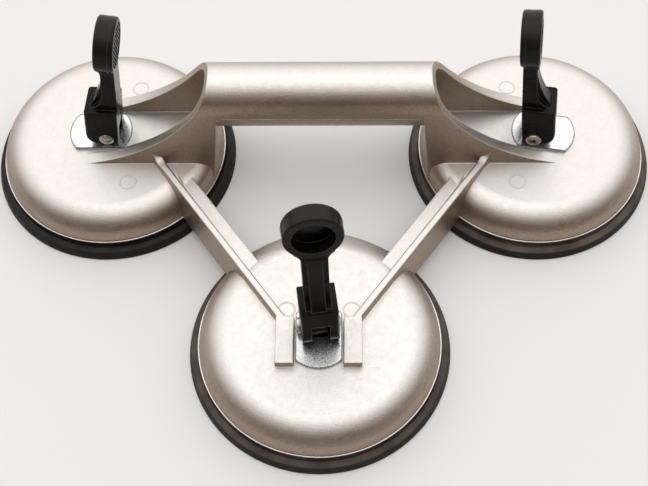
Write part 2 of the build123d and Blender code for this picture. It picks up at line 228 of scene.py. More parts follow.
class LifterPad(bpy.types.PropertyGroup):
    """Outline and finish of the rubber pads."""

    colour: FloatVectorProperty(
        name="Rubber", description="Colour of clean rubber",
        subtype="COLOR", default=(0.010, 0.009, 0.0085))
    dust: FloatVectorProperty(
        name="Bloom", description="Colour of the dusty bloom",
        subtype="COLOR", default=(0.17, 0.128, 0.104))
    roughness: FloatProperty(
        name="Roughness", description="Roughness of the rubber",
        subtype="FACTOR", default=0.52, min=0, max=1)
    gloss: FloatProperty(
        name="Gloss", description="Specular level of the rubber",
        subtype="FACTOR", default=0.22, min=0, max=1)
    corner: FloatProperty(
        name="Corner", description="Rounding of the moulded corners", unit="LENGTH", default=0.45 * MM)
    segments: IntProperty(name="Segments", description="Steps round the pad", default=288, min=48)


class LifterSpring(bpy.types.PropertyGroup):
    """Sizes and finish of the return springs."""

    colour: FloatVectorProperty(
        name="Wire", description="Colour of the wire", subtype="COLOR", default=(0.42, 0.42, 0.43))
    roughness: FloatProperty(
        name="Roughness", description="Roughness of drawn wire",
        subtype="FACTOR", default=0.3, min=0, max=1)
    wire: FloatProperty(
        name="Wire", description="Diameter of the wire", unit="LENGTH", default=1.6 * MM)
    turns: FloatProperty(name="Turns", description="Turns of the spring", default=2.5)
    bottom_radius: FloatProperty(
        name="Bottom radius", description="Radius of the bottom turn", unit="LENGTH", default=13 * MM)
    top_radius: FloatProperty(
        name="Top radius", description="Radius of the top turn", unit="LENGTH", default=8.5 * MM)


class LifterLever(bpy.types.PropertyGroup):
    """Sizes and finish of the levers, their thumb grips, seams and necks."""

    colour: FloatVectorProperty(
        name="Plastic", description="Colour of the moulded plastic",
        subtype="COLOR", default=(0.0042, 0.0040, 0.0039))
    # Partly wear, partly painted highlight: the lever's edges are painted in this lighter colour.
    edge: FloatVectorProperty(
        name="Edge", description="Colour of the rubbed edges",
        subtype="COLOR", default=(0.075, 0.068, 0.06))
    # Painted highlight: the head's upper half is painted in this lighter colour.
    head_highlight: FloatVectorProperty(
        name="Handled", description="Colour of the rubbed top of the head",
        subtype="COLOR", default=(0.022, 0.0175, 0.0145))
    roughness: FloatProperty(
        name="Roughness", description="Roughness of the plastic",
        subtype="FACTOR", default=0.2, min=0, max=1)
    gloss: FloatProperty(
        name="Gloss", description="Specular level of the plastic",
        subtype="FACTOR", default=0.12, min=0, max=1)
    head_distance: FloatProperty(
        name="Head distance", description="Pin to the middle of the head", unit="LENGTH", default=62.5 * MM)
    head_radius: FloatProperty(
        name="Head radius", description="Radius of the head", unit="LENGTH", default=12.5 * MM)
    face: FloatProperty(
        name="Face", description="Pin to the head's inward face, outward positive",
        unit="LENGTH", default=-6.2 * MM)
    recess: FloatProperty(
        name="Recess", description="Depth of the recess in that face", unit="LENGTH", default=0.5 * MM)
    seam: FloatProperty(
        name="Seam", description="Pin to the mould seam round the head, outward positive",
        unit="LENGTH", default=-3.9 * MM)
    seam_height: FloatProperty(
        name="Seam height", description="Height of that seam", unit="LENGTH", default=0.13 * MM)
    arm_width: FloatProperty(
        name="Arm width", description="Width of the arm", unit="LENGTH", default=11.2 * MM)
    arm_face: FloatProperty(
        name="Arm face", description="Pin to the arm's outward face", unit="LENGTH", default=1.1 * MM)
    neck_round: FloatProperty(
        name="Neck round", description="Radius between the arm's sides and the head",
        unit="LENGTH", default=9 * MM)
    neck_run: FloatProperty(
        name="Neck run", description="Length of the flare below that radius",
        unit="LENGTH", default=3 * MM)
    neck_step: FloatProperty(
        name="Neck step", description="Rise of the flare to the head's outward face",
        unit="LENGTH", default=1.2 * MM)
    grip_radius: FloatProperty(
        name="Grip radius", description="Radius of the ribbed thumb grip",
        unit="LENGTH", default=10.35 * MM)
    rib_pitch: FloatProperty(
        name="Rib pitch", description="Distance between ribs", unit="LENGTH", default=1.7 * MM)
    rib_height: FloatProperty(
        name="Rib height", description="Height of the ribs", unit="LENGTH", default=0.45 * MM)
    rib_tilt: FloatProperty(
        name="Rib tilt", description="Slant of each set of ribs from upright",
        unit="ROTATION", default=math.radians(28))


class LifterFittings(bpy.types.PropertyGroup):
    """Finish of the wear plates, rivets, studs and discs."""

    plate: FloatVectorProperty(
        name="Plate", description="Colour of bright zinc", subtype="COLOR", default=(0.78, 0.79, 0.80))
    # Painted shade: this dark colour is painted on the plates' edges as the shadow along their outline.
    plate_edge_shade: FloatVectorProperty(
        name="Plate edge", description="Colour of the plates' stamped edges",
        subtype="COLOR", default=(0.05, 0.051, 0.053))
    plate_roughness: FloatProperty(
        name="Plate roughness", description="Roughness of the zinc",
        subtype="FACTOR", default=0.24, min=0, max=1)
    plate_grain: FloatProperty(
        name="Plate grain", description="Size of the zinc's grain", unit="LENGTH", default=0.35 * MM)
    plate_rounding: FloatProperty(
        name="Plate rounding", description="Softening of the plates' edges",
        unit="LENGTH", default=1.2 * MM)
    rivet: FloatVectorProperty(
        name="Rivet", description="Colour of the rivets", subtype="COLOR", default=(0.66, 0.62, 0.56))
    rivet_roughness: FloatProperty(
        name="Rivet roughness", description="Roughness of the rivets",
        subtype="FACTOR", default=0.3, min=0, max=1)
    rivet_grain: FloatProperty(
        name="Rivet grain", description="Size of the rivets' grain", unit="LENGTH", default=0.6 * MM)
    steel: FloatVectorProperty(
        name="Steel", description="Colour of the blackened studs and discs",
        subtype="COLOR", default=(0.03, 0.029, 0.028))
    steel_roughness: FloatProperty(
        name="Steel roughness", description="Roughness of the steel",
        subtype="FACTOR", default=0.4, min=0, max=1)
    steel_grain: FloatProperty(
        name="Steel grain", description="Width of the steel's scratches", unit="LENGTH", default=1.5 * MM)


class LifterStage(bpy.types.PropertyGroup):
    """Floor, light and camera."""

    floor: FloatVectorProperty(
        name="Floor", description="Colour of the floor", subtype="COLOR", default=(0.80, 0.80, 0.80))
    floor_size: FloatProperty(
        name="Floor size", description="Side of the floor", unit="LENGTH", default=40.0)
    sky: FloatVectorProperty(
        name="Sky", description="Colour of the light from above",
        subtype="COLOR", soft_max=2, default=(1.43, 1.41, 1.39))
    sky_middle: FloatVectorProperty(
        name="Sky middle", description="Direction of the sky's brightest part",
        subtype="DIRECTION", default=(0, 0.5, 0.866))
    sky_width: FloatProperty(
        name="Sky width", description="Factor on X before the fall-off; below 1 widens the sky sideways",
        default=0.8)
    sky_edge: FloatProperty(
        name="Sky edge", description="Cosine from the sky's middle at which its light sets in", default=0.2)
    sky_full: FloatProperty(
        name="Sky full", description="Cosine from the sky's middle at which its light is full", default=0.78)
    room: FloatVectorProperty(
        name="Room", description="Colour of the dim room", subtype="COLOR", default=(0.15, 0.10, 0.067))
    lamp_power: FloatProperty(
        name="Lamp", description="Power of the soft lamp", unit="POWER", default=1.0)
    lamp_size: FloatProperty(
        name="Lamp size", description="Side of the soft lamp", unit="LENGTH", default=0.8)
    lamp_place: FloatVectorProperty(
        name="Lamp place", description="Place of the soft lamp",
        subtype="TRANSLATION", default=(0.0, 0.12, 0.85))
    eye: FloatVectorProperty(
        name="Eye", description="Place of the camera",
        subtype="TRANSLATION", default=(0.01136, -0.26028, 0.46206))
    target: FloatVectorProperty(
        name="Target", description="Point that the camera looks at",
        subtype="TRANSLATION", default=(0.00136, 0.00253, 0.0))
    roll: FloatProperty(
        name="Roll", description="Turn of the camera about its view",
        unit="ROTATION", default=math.radians(-1.92))
    lens: FloatProperty(
        name="Lens", description="Focal length in millimetres, on a 36 mm sensor",
        unit="CAMERA", default=60.92)


def add_piece(name, points, faces, material, smooth=True):
    """A mesh object of the given points and faces, its faces turned outwards, with one material."""
    mesh = bpy.data.meshes.new(name)
    mesh.from_pydata(points.tolist(), [], faces)
    shape = bmesh.new()
    shape.from_mesh(mesh)
    bmesh.ops.recalc_face_normals(shape, faces=shape.faces)
    shape.to_mesh(mesh)
    shape.free()
    mesh.polygons.foreach_set("use_smooth", np.full(len(mesh.polygons), smooth))
    mesh.materials.append(material)
    piece = bpy.data.objects.new(name, mesh)
    bpy.context.scene.collection.objects.link(piece)
    return piece


def grid_faces(rows, columns, wrap_rows, wrap_columns):
    """Quads between neighbours of a grid, joined round where a direction wraps."""
    row = np.arange(rows if wrap_rows else rows - 1)[:, None]
    column = np.arange(columns if wrap_columns else columns - 1)[None, :]
    below = (row + 1) % rows
    beside = (column + 1) % columns
    here = row * columns
    there = below * columns
    corners = (here + column, here + beside, there + beside, there + column)
    return np.stack(corners, axis=-1).reshape(-1, 4).tolist()


def add_ring(name, rings, material):
    """A piece whose grid of points wraps in both directions, like a ring with a round section."""
    return add_piece(name, rings.reshape(-1, 3), grid_faces(*rings.shape[:2], True, True), material)


def closed_surface(rings, first_end, last_end):
    """Points and faces of a stack of closed rings with a single point closing each end."""
    rows, columns, _ = rings.shape
    points = np.concatenate([rings.reshape(-1, 3), [first_end, last_end]])
    column = np.arange(columns)
    beside = (column + 1) % columns
    first = np.stack([np.full(columns, rows * columns), beside, column], axis=-1)
    last = np.stack([np.full(columns, rows * columns + 1), column, beside], axis=-1)
    last[:, 1:] += (rows - 1) * columns
    return points, grid_faces(rows, columns, False, True) + first.tolist() + last.tolist()


def round_steps(steps):
    """Even angles once round, the last one short of the first."""
    return np.linspace(0, FULL_TURN, steps, endpoint=False)


def turned(profile, centre, segments):
    """Rings of a profile (radius, height) turned about a vertical axis: x = r cos t, y = r sin t."""
    angle = round_steps(segments)
    radius = profile[:, 0][:, None]
    x = centre[0] + radius * np.cos(angle)
    y = centre[1] + radius * np.sin(angle)
    z = np.broadcast_to(profile[:, 1][:, None], x.shape)
    return np.stack([x, y, z], axis=-1)


def oval(radius, height, half_wide, half_high):
    """A small oval profile: r = radius + half wide cos s, z = height + half high sin s."""
    share = round_steps(OVAL_STEPS)
    return np.stack([radius + half_wide * np.cos(share), height + half_high * np.sin(share)], axis=-1)


def rounded(corners, radius, arc_steps=5, most=0.45):
    """A polyline with each inner corner replaced by an arc that takes at most a share of its shorter side.

    A corner c between unit directions a (back) and b (on) gets points on a quadratic curve from
    c + a d to c + b d, where d is the arc's tangent length.
    """
    corners = np.asarray(corners, float)
    before = corners[:-2] - corners[1:-1]
    after = corners[2:] - corners[1:-1]
    before_length = np.linalg.norm(before, axis=1)
    after_length = np.linalg.norm(after, axis=1)
    reach = np.minimum(radius, most * np.minimum(before_length, after_length))[:, None, None]
    share = np.linspace(0, 1, arc_steps)[None, :, None]
    back = (before / before_length[:, None])[:, None, :]
    onward = (after / after_length[:, None])[:, None, :]
    curve = corners[1:-1][:, None, :] + reach * ((1 - share) ** 2 * back + share ** 2 * onward)
    return np.concatenate([corners[:1], curve.reshape(-1, 2), corners[-1:]])


def spaced(line, step):
    """A polyline with extra points, so that no run is longer than a step."""
    length = np.concatenate([[0], np.cumsum(np.linalg.norm(np.diff(line, axis=0), axis=1))])
    even = np.linspace(0, length[-1], int(length[-1] / step) + 1)
    at = np.unique(np.round(np.concatenate([length, even]), 7))
    return np.stack([np.interp(at, length, line[:, 0]), np.interp(at, length, line[:, 1])], axis=-1)


def eased(share):
    """A share from 0 to 1 with a smooth start and end: s s (3 - 2 s)."""
    return share * share * (3 - 2 * share)


def toned(colour, factor):
    """A colour made darker or lighter by a factor."""
    return [factor * value for value in colour]


class NodeGraph:
    """A shader's node tree, and the few ways in which its nodes are made and joined here."""

    def __init__(self, tree):
        self.nodes = tree.nodes
        self.links = tree.links

    def put(self, value, socket):
        """Links another node's output to a socket, or sets a plain value on it."""
        if isinstance(value, bpy.types.NodeSocket):
            self.links.new(value, socket)
        else:
            socket.default_value = value

    def output(self, kind, name):
        """An output of a new node that needs no inputs."""
        return self.nodes.new(kind).outputs[name]

    def attribute(self, name):
        """The value of a mesh attribute."""
        node = self.nodes.new("ShaderNodeAttribute")
        node.attribute_name = name
        return node.outputs["Fac"]

    def worked(self, kind, operation, result, *values):
        """The named result of a math node on some values."""
        node = self.nodes.new(kind)
        node.operation = operation
        for value, socket in zip(values, node.inputs):
            self.put(value, socket)
        return node.outputs[result]

    def product(self, first, second):
        """One value times another."""
        return self.worked("ShaderNodeMath", "MULTIPLY", "Value", first, second)

    def dot(self, first, second):
        """Dot product of two vectors."""
        return self.worked("ShaderNodeVectorMath", "DOT_PRODUCT", "Value", first, second)

    def height_of(self, vector):
        """The Z of a vector."""
        node = self.nodes.new("ShaderNodeSeparateXYZ")
        self.put(vector, node.inputs["Vector"])
        return node.outputs["Z"]

    def noise(self, size, detail=3, stretch=(1, 1, 1)):
        """Noise on Object coordinates with features of about a size, stretched along the axes."""
        mapping = self.nodes.new("ShaderNodeMapping")
        mapping.inputs["Scale"].default_value = [1 / (size * share) for share in stretch]
        self.put(self.output("ShaderNodeTexCoord", "Object"), mapping.inputs["Vector"])
        texture = self.nodes.new("ShaderNodeTexNoise")
        texture.inputs["Scale"].default_value = 1
        texture.inputs["Detail"].default_value = detail
        self.put(mapping.outputs["Vector"], texture.inputs["Vector"])
        return texture.outputs["Fac"]

    def ranged(self, value, low, high, start=0.35, end=0.65):
        """A value's run from start to end, by default the main run of noise, carried onto low to high."""
        node = self.nodes.new("ShaderNodeMapRange")
        limits = {"From Min": start, "From Max": end, "To Min": low, "To Max": high}
        for name, limit in limits.items():
            node.inputs[name].default_value = limit
        self.put(value, node.inputs["Value"])
        return node.outputs["Result"]

    def mixed(self, factor, first, second):
        """A colour between two, by a factor; each is a plain colour or another node's output."""
        node = self.nodes.new("ShaderNodeMix")
        node.data_type = "RGBA"
        for name, colour in (("A", first), ("B", second)):
            linked = isinstance(colour, bpy.types.NodeSocket)
            self.put(colour if linked else (*colour, 1), node.inputs[name])
        self.put(factor, node.inputs["Factor"])
        return node.outputs["Result"]

    def mottled(self, size, plain, less, more):
        """A value that wanders in patches, from its plain value less one amount to it plus another."""
        return self.ranged(self.noise(size, detail=4), plain - less, plain + more)

    def bumped(self, height, distance, strength, normal=None):
        """A normal bent by a height, over another normal if one is given."""
        node = self.nodes.new("ShaderNodeBump")
        node.inputs["Distance"].default_value = distance
        node.inputs["Strength"].default_value = strength
        self.put(height, node.inputs["Height"])
        if normal is not None:
            self.put(normal, node.inputs["Normal"])
        return node.outputs["Normal"]

    def own_normal(self):
        """The surface's own normal."""
        return self.output("ShaderNodeNewGeometry", "Normal")

    def softened(self, radius):
        """A normal that rounds the edges by a radius."""
        node = self.nodes.new("ShaderNodeBevel")
        node.samples = BEVEL_SAMPLES
        node.inputs["Radius"].default_value = radius
        return node.outputs["Normal"]

    def edge_share(self, edges, start=0.01, end=0.12):
        """How far an edge-rounding normal leaves the surface's own, by one minus their dot product."""
        return self.ranged(self.dot(edges, self.own_normal()), 0, 1, 1 - start, 1 - end)

    def shaded_by_facing(self, colour, brown):
        """Painted shade: a colour where a surface faces up that turns to a darker, browner one where it faces
        sideways or down.
        """
        share = self.ranged(self.height_of(self.own_normal()), 1, 0, SIDEWAYS_Z, UPWARD_Z)
        return self.mixed(share, colour, brown)


def new_finish(name):
    """A node material, as (material, its graph, the inputs of its Principled shader)."""
    material = bpy.data.materials.new(name)
    material.use_nodes = True
    tree = material.node_tree
    return material, NodeGraph(tree), tree.nodes["Principled BSDF"].inputs


def cast_metal(name, looks, edge):
    """Blasted cast aluminium: a fine grain, dull patches, painted shade that turns the sides darker and
    browner, and lighter edges that face up, partly polish and partly painted highlight.
    """
    material, graph, shader = new_finish(name)
    shader["Metallic"].default_value = 1
    speckle = graph.ranged(graph.noise(looks.grain), 0, 1, start=0.3, end=0.7)
    cloud = graph.ranged(graph.noise(CAST_CLOUD, detail=5), 0, 0.35, start=0.4, end=0.7)
    bare = graph.mixed(cloud, graph.mixed(speckle, looks.shade, looks.colour), looks.shade)
    # Painted shade: faces that point sideways or down are painted in this darker, browner colour, speckled.
    dark_side_shade = toned(looks.side, 0.70)
    light_side_shade = toned(looks.side, 1.18)
    side_shade = graph.mixed(speckle, dark_side_shade, light_side_shade)
    edges = graph.softened(edge)
    # Lighter edges only where they face up: partly polish, partly a painted highlight.
    facing_up = graph.ranged(graph.height_of(edges), 0, 1, start=0.15, end=0.6)
    lightened = graph.product(graph.edge_share(edges), facing_up)
    graph.put(graph.mixed(lightened, graph.shaded_by_facing(bare, side_shade), looks.trimmed), shader["Base Color"])
    graph.put(graph.mottled(CAST_MOTTLE, looks.roughness, less=0.03, more=0.06), shader["Roughness"])
    skin = graph.bumped(graph.noise(CAST_WAVE, detail=2), distance=0.15 * MM, strength=0.25, normal=edges)
    grain = graph.noise(looks.grain, detail=2)
    graph.put(graph.bumped(grain, distance=0.2 * MM, strength=0.6, normal=skin), shader["Normal"])
    return material


def moulded_rubber(looks):
    """Dark rubber with a brownish bloom in patches and faint rings left by the mould."""
    material, graph, shader = new_finish("rubber_finish")
    shader["Specular IOR Level"].default_value = looks.gloss
    patches = graph.ranged(graph.noise(RUBBER_PATCH, detail=6), 0.4, 1)
    bloom = graph.product(graph.attribute("bloom"), patches)
    graph.put(graph.mixed(bloom, looks.colour, looks.dust), shader["Base Color"])
    graph.put(graph.mottled(RUBBER_MOTTLE, looks.roughness, less=0.08, more=0.1), shader["Roughness"])
    radius = graph.attribute("mould_radius")
    wave = graph.worked("ShaderNodeMath", "PINGPONG", "Value", radius, RUBBER_RING)
    rings = graph.ranged(wave, 0, 1, start=0, end=RUBBER_RING)
    turned_marks = graph.bumped(rings, distance=0.03 * MM, strength=0.3)
    grain = graph.noise(RUBBER_GRAIN, detail=4)
    graph.put(graph.bumped(grain, distance=0.08 * MM, strength=0.4, normal=turned_marks), shader["Normal"])
    return material


def moulded_plastic(looks):
    """Black moulded plastic: satin, with a spark-eroded grain, rubbed patches, edges lightened partly by wear
    and partly as a painted highlight, and a painted highlight on the head's top.

    The head's upper half turns to its painted highlight colour with the height at rest.
    """
    material, graph, shader = new_finish("black_plastic_finish")
    shader["Specular IOR Level"].default_value = looks.gloss
    rubbed = graph.ranged(graph.noise(PLASTIC_PATCH, detail=5), 0, 1, start=0.45, end=0.8)
    dull = toned(looks.colour, 3)
    black = graph.mixed(rubbed, looks.colour, dull)
    height = graph.height_of(graph.output("ShaderNodeTexCoord", "Object"))
    head_middle = PIN_HEIGHT + looks.head_distance * math.cos(LEAN)
    head_top = head_middle + looks.head_radius
    # Painted highlight: the head's upper half gets a lighter colour, by its height at rest.
    head_highlight = graph.ranged(height, 0, 1, start=head_middle + 1 * MM, end=head_top)
    plain = graph.mixed(head_highlight, black, looks.head_highlight)
    edges = graph.softened(PLASTIC_EDGE)
    # Lighter edges: partly wear, partly a painted highlight.
    graph.put(graph.mixed(graph.edge_share(edges), plain, looks.edge), shader["Base Color"])
    graph.put(graph.mottled(PLASTIC_MOTTLE, looks.roughness, less=0.05, more=0.08), shader["Roughness"])
    grain = graph.noise(PLASTIC_GRAIN, detail=2)
    graph.put(graph.bumped(grain, distance=0.04 * MM, strength=0.4, normal=edges), shader["Normal"])
    return material


def plain_metal(name, colour, roughness, grain, stretch=(1, 1, 1), edge=0.25 * MM, edge_shade=None):
    """Bare or plated metal with a fine grain or scratches, an uneven colour and, if given, painted shade on
    its edges.
    """
    material, graph, shader = new_finish(name)
    shader["Metallic"].default_value = 1
    cloud = graph.ranged(graph.noise(METAL_CLOUD, detail=4), 0, 1)
    dull = toned(colour, 0.86)
    tone = graph.mixed(cloud, colour, dull)
    edges = graph.softened(edge)
    # Painted shade: the edges are darkened to the given colour, if any.
    if edge_shade is not None:
        tone = graph.mixed(graph.edge_share(edges, start=0.002, end=0.03), tone, edge_shade)
    graph.put(tone, shader["Base Color"])
    scratches = graph.noise(grain, detail=4, stretch=stretch)
    smoothest = 0.75 * roughness
    roughest = 1.5 * roughness
    graph.put(graph.ranged(scratches, smoothest, roughest), shader["Roughness"])
    graph.put(graph.bumped(scratches, distance=0.02 * MM, strength=0.25, normal=edges), shader["Normal"])
    return material


def dress(nodes, material):
    """Gives CAD nodes a finish."""
    for name in nodes:
        for slot in NODES[name].material_slots:
            slot.material = material


def carry(piece, body, slot, *replaced):
    """A piece rides on a body and may stand for CAD nodes; the slot is not used."""
    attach(piece, body)
    if replaced:
        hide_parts(*replaced)


class LIFTER_OT_casting(bpy.types.Operator):
    """Finish the casting and add its shoulders, rim edges, ejector marks and the grip's parting line"""

    bl_idname = "lifter.casting"
    bl_label = "Casting"

    def execute(self, context):
        looks = context.scene.lifter_casting
        skin = cast_metal("cast_aluminium_finish", looks, looks.edge)
        fine_skin = cast_metal("mould_mark_finish", looks, 0)
        dress(["frame_casting"], skin)
        self.shoulders(looks, skin)
        self.rim_edges(looks)
        self.ejector_marks(looks, fine_skin)
        self.parting_line(looks, fine_skin)
        return {"FINISHED"}

    def shoulders(self, looks, material):
        """Full round shoulders of the shells: a quarter ellipse from flat to rim, turned about each cup.

        r = flat + run sin t and z = rim + drop cos t, a hair proud, closed by a chord that is sunk into
        the shell's wall and tucked under its flat.
        """
        proud = 0.01 * MM
        sunk = 0.8 * MM
        tuck = 6 * MM
        tuck_depth = 0.3 * MM
        rim = RIM_RADIUS - looks.rim_step
        drop = SHELL_TOP - looks.rim_top
        angle = np.linspace(0, FULL_TURN / 4, SHOULDER_STEPS)
        radius = rim - looks.shoulder * (1 - np.sin(angle))
        outside = np.stack([radius, looks.rim_top + drop * np.cos(angle) + proud], axis=-1)
        inner_edge = rim - looks.shoulder - tuck
        chord = np.linspace((rim - sunk, looks.rim_top), (inner_edge, SHELL_TOP - 2 * sunk), CHORD_STEPS)
        profile = np.concatenate([outside, chord, [(inner_edge, SHELL_TOP - tuck_depth)]])
        for cup in CUPS:
            rings = turned(profile, PAD_CENTRES[cup], SHELL_STEPS)
            carry(add_ring(f"{cup}_shell_shoulder", rings, material), "frame", "cast_aluminium")

    def rim_edges(self, looks):
        """Bright trimmed edges of the rims: a fine bead of oval section turned about each cup."""
        material = plain_metal("trimmed_edge_finish", looks.trimmed, looks.trimmed_roughness, grain=0.8 * MM)
        inset = 0.2 * MM
        bead = oval(RIM_RADIUS - inset, looks.rim_top, half_wide=0.4 * MM, half_high=0.25 * MM)
        for cup in CUPS:
            rings = turned(bead, PAD_CENTRES[cup], SHELL_STEPS)
            carry(add_ring(f"{cup}_rim_edge", rings, material), "frame", "cast_aluminium")

    def ejector_marks(self, looks, material):
        """Low raised rings on the shells' tops: an oval section turned about each mark's middle."""
        section = oval(looks.mark_radius, SHELL_TOP, looks.mark_width / 2, looks.mark_height)
        places = [(cup, offset) for cup, offsets in EJECTOR_MARKS.items() for offset in offsets]
        for number, (cup, (x, y)) in enumerate(places, start=1):
            centre = (PAD_CENTRES[cup].x + x * MM, PAD_CENTRES[cup].y + y * MM)
            rings = turned(section, centre, MARK_STEPS)
            carry(add_ring(f"ejector_mark_{number}", rings, material), "frame", "cast_aluminium")

    def parting_line(self, looks, material):
        """Fine ridges where the mould closed, along the grip's front and back at half its height.

        An oval section is carried along X. Its height waves by the product of a short and a long sine, in
        radians to the metre, and tapers off at the ends.
        """
        short_wave = 310
        long_wave = 97
        wave_share = 0.5
        taper_length = 4 * MM
        least = 0.05
        width_share = 1.6
        half = looks.flash_length / 2
        along = np.linspace(-half, half, FLASH_STEPS[0])[:, None]
        around = round_steps(FLASH_STEPS[1])[None, :]
        wave = 1 + wave_share * np.sin(along * short_wave) * np.sin(along * long_wave + 1)
        taper = np.clip((half - np.abs(along)) / taper_length, least, 1)
        axis_z = GRIP_TOP - looks.grip_radius
        for name, side in (("front", -1), ("rear", 1)):
            x = along + 0 * around
            y = GRIP_LINE_Y + side * (looks.grip_radius + looks.flash_height * wave * taper * np.cos(around))
            z = axis_z + width_share * looks.flash_height * taper * np.sin(around)
            rings = np.stack([x, y, z], axis=-1)
            points, faces = closed_surface(rings, rings[0].mean(axis=0), rings[-1].mean(axis=0))
            piece = add_piece(f"grip_parting_line_{name}", points, faces, material)
            carry(piece, "frame", "cast_aluminium")


class LIFTER_OT_pads(bpy.types.Operator):
    """Make the rubber pads"""

    bl_idname = "lifter.pads"
    bl_label = "Rubber pads"

    def execute(self, context):
        looks = context.scene.lifter_pad
        material = moulded_rubber(looks)
        profile = self.profile(looks)
        for cup in CUPS:
            self.pad(cup, profile, looks, material)
        return {"FINISHED"}

    def profile(self, looks):
        """Half section of a pad, (radius, height), from the middle of its underside round to that of its top.

        The underside is dished inside the sealing ring. Outside, a bevelled lip rises to its crest, with a
        trough between it and the ring that fills the shell's rim. The top slopes down to the disc.
        """
        pole = 0.5 * MM
        edge = PAD_RADIUS
        dish = 0.8 * MM
        seal = edge - 12 * MM
        lip = edge - 4.4 * MM
        ring = edge - 5.8 * MM
        bead = ring - 6.5 * MM
        crest = 4.8 * MM
        trough = 4.2 * MM
        corners = [
            (pole, dish),
            (seal - dish, dish),
            (seal, 0),
            (edge, 0),
            (edge - 0.2 * MM, 1.2 * MM),
            (edge - 1.4 * MM, 4.1 * MM),
            (lip, crest),
            (lip - 0.3 * MM, trough),
            (ring, trough),
            (ring, PAD_TOP),
            (bead, PAD_TOP),
            (bead - 3 * MM, DISC_BOTTOM),
            (pole, DISC_BOTTOM),
        ]
        return spaced(rounded(corners, looks.corner), step=1.1 * MM)

    def pad(self, cup, profile, looks, material):
        """The section turned about the cup's axis; its middle follows the stud, its rim stays with the frame.

        The share that follows the frame is eased from 0 just outside the disc to 1 further out.
        """
        centre = PAD_CENTRES[cup]
        rings = turned(profile, centre, looks.segments)
        bottom = (centre.x, centre.y, profile[0, 1])
        top = (centre.x, centre.y, profile[-1, 1])
        points, faces = closed_surface(rings, bottom, top)
        piece = add_piece(f"{cup}_moulded_pad", points, faces, material)
        mesh = piece.data
        places = np.zeros(3 * len(mesh.vertices), np.float32)
        mesh.vertices.foreach_get("co", places)
        radius = np.hypot(places[0::3] - centre.x, places[1::3] - centre.y)
        mesh.attributes.new("mould_radius", "FLOAT", "POINT").data.foreach_set("value", radius)
        bloom = PAD_BLOOM[cup] * self.bloom(radius, places[2::3])
        mesh.attributes.new("bloom", "FLOAT", "POINT").data.foreach_set("value", bloom)
        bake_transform(piece, f"{cup}_stud", "frame",
                 start=(centre.x, centre.y, DISC_BOTTOM), end=(centre.x, centre.y, 0))
        flex_start = DISC_RADIUS + 0.5 * MM
        flex_end = DISC_RADIUS + 8 * MM
        share = np.clip((radius - flex_start) / (flex_end - flex_start), 0, 1)
        mesh.attributes["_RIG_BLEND"].data.foreach_set("value", eased(share))
        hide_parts(f"{cup}_rubber_pad")

    def bloom(self, radius, height):
        """How dusty a pad's points are: full on the upper side inside the lip's edge, and faint elsewhere."""
        edge = 1.1 * MM
        fade = 0.5 * MM
        underside = 2 * MM
        lip = np.clip((PAD_RADIUS - edge - radius) / fade, 0, 1) * (height > underside)
        return CLEAN_BLOOM + (1 - CLEAN_BLOOM) * lip


class LIFTER_OT_springs(bpy.types.Operator):
    """Make the conical return springs"""

    bl_idname = "lifter.springs"
    bl_label = "Return springs"

    def execute(self, context):
        looks = context.scene.lifter_spring
        material = plain_metal(
            "spring_steel_finish", looks.colour, looks.roughness, grain=1.2 * MM, stretch=(1, 1, 0.2))
        for cup in CUPS:
            self.spring(cup, looks, material)
        return {"FINISHED"}

    def spring(self, cup, looks, material):
        """A round wire along a conical helix that narrows and rises evenly with its turn."""
        joint = JOINTS[f"{cup}_lever_swing"]
        heading = math.atan2(-joint["axis"][0], joint["axis"][1])
        low = SPRING_BOX[0].z + looks.wire / 2
        high = SPRING_BOX[1].z - looks.wire / 2
        share = np.linspace(0, 1, SPRING_STEPS[0])[:, None]
        turn = FULL_TURN * looks.turns * share + heading
        radius = looks.bottom_radius + (looks.top_radius - looks.bottom_radius) * share
        line = np.concatenate([
            joint["pos_m"][0] + radius * np.cos(turn),
            joint["pos_m"][1] + radius * np.sin(turn),
            low + (high - low) * share,
        ], axis=1)
        along = np.gradient(line, axis=0)
        along /= np.linalg.norm(along, axis=1)[:, None]
        outward = np.concatenate([np.cos(turn), np.sin(turn), 0 * turn], axis=1)
        outward -= along * np.sum(along * outward, axis=1)[:, None]
        outward /= np.linalg.norm(outward, axis=1)[:, None]
        across = np.cross(along, outward)
        angle = round_steps(SPRING_STEPS[1])[None, :, None]
        section = np.cos(angle) * outward[:, None] + np.sin(angle) * across[:, None]
        rings = line[:, None] + looks.wire / 2 * section
        points, faces = closed_surface(rings, line[0], line[-1])
        piece = add_piece(f"{cup}_wire_spring", points, faces, material)
        carry(piece, "frame", "spring_steel", f"{cup}_return_spring")
        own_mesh(piece)


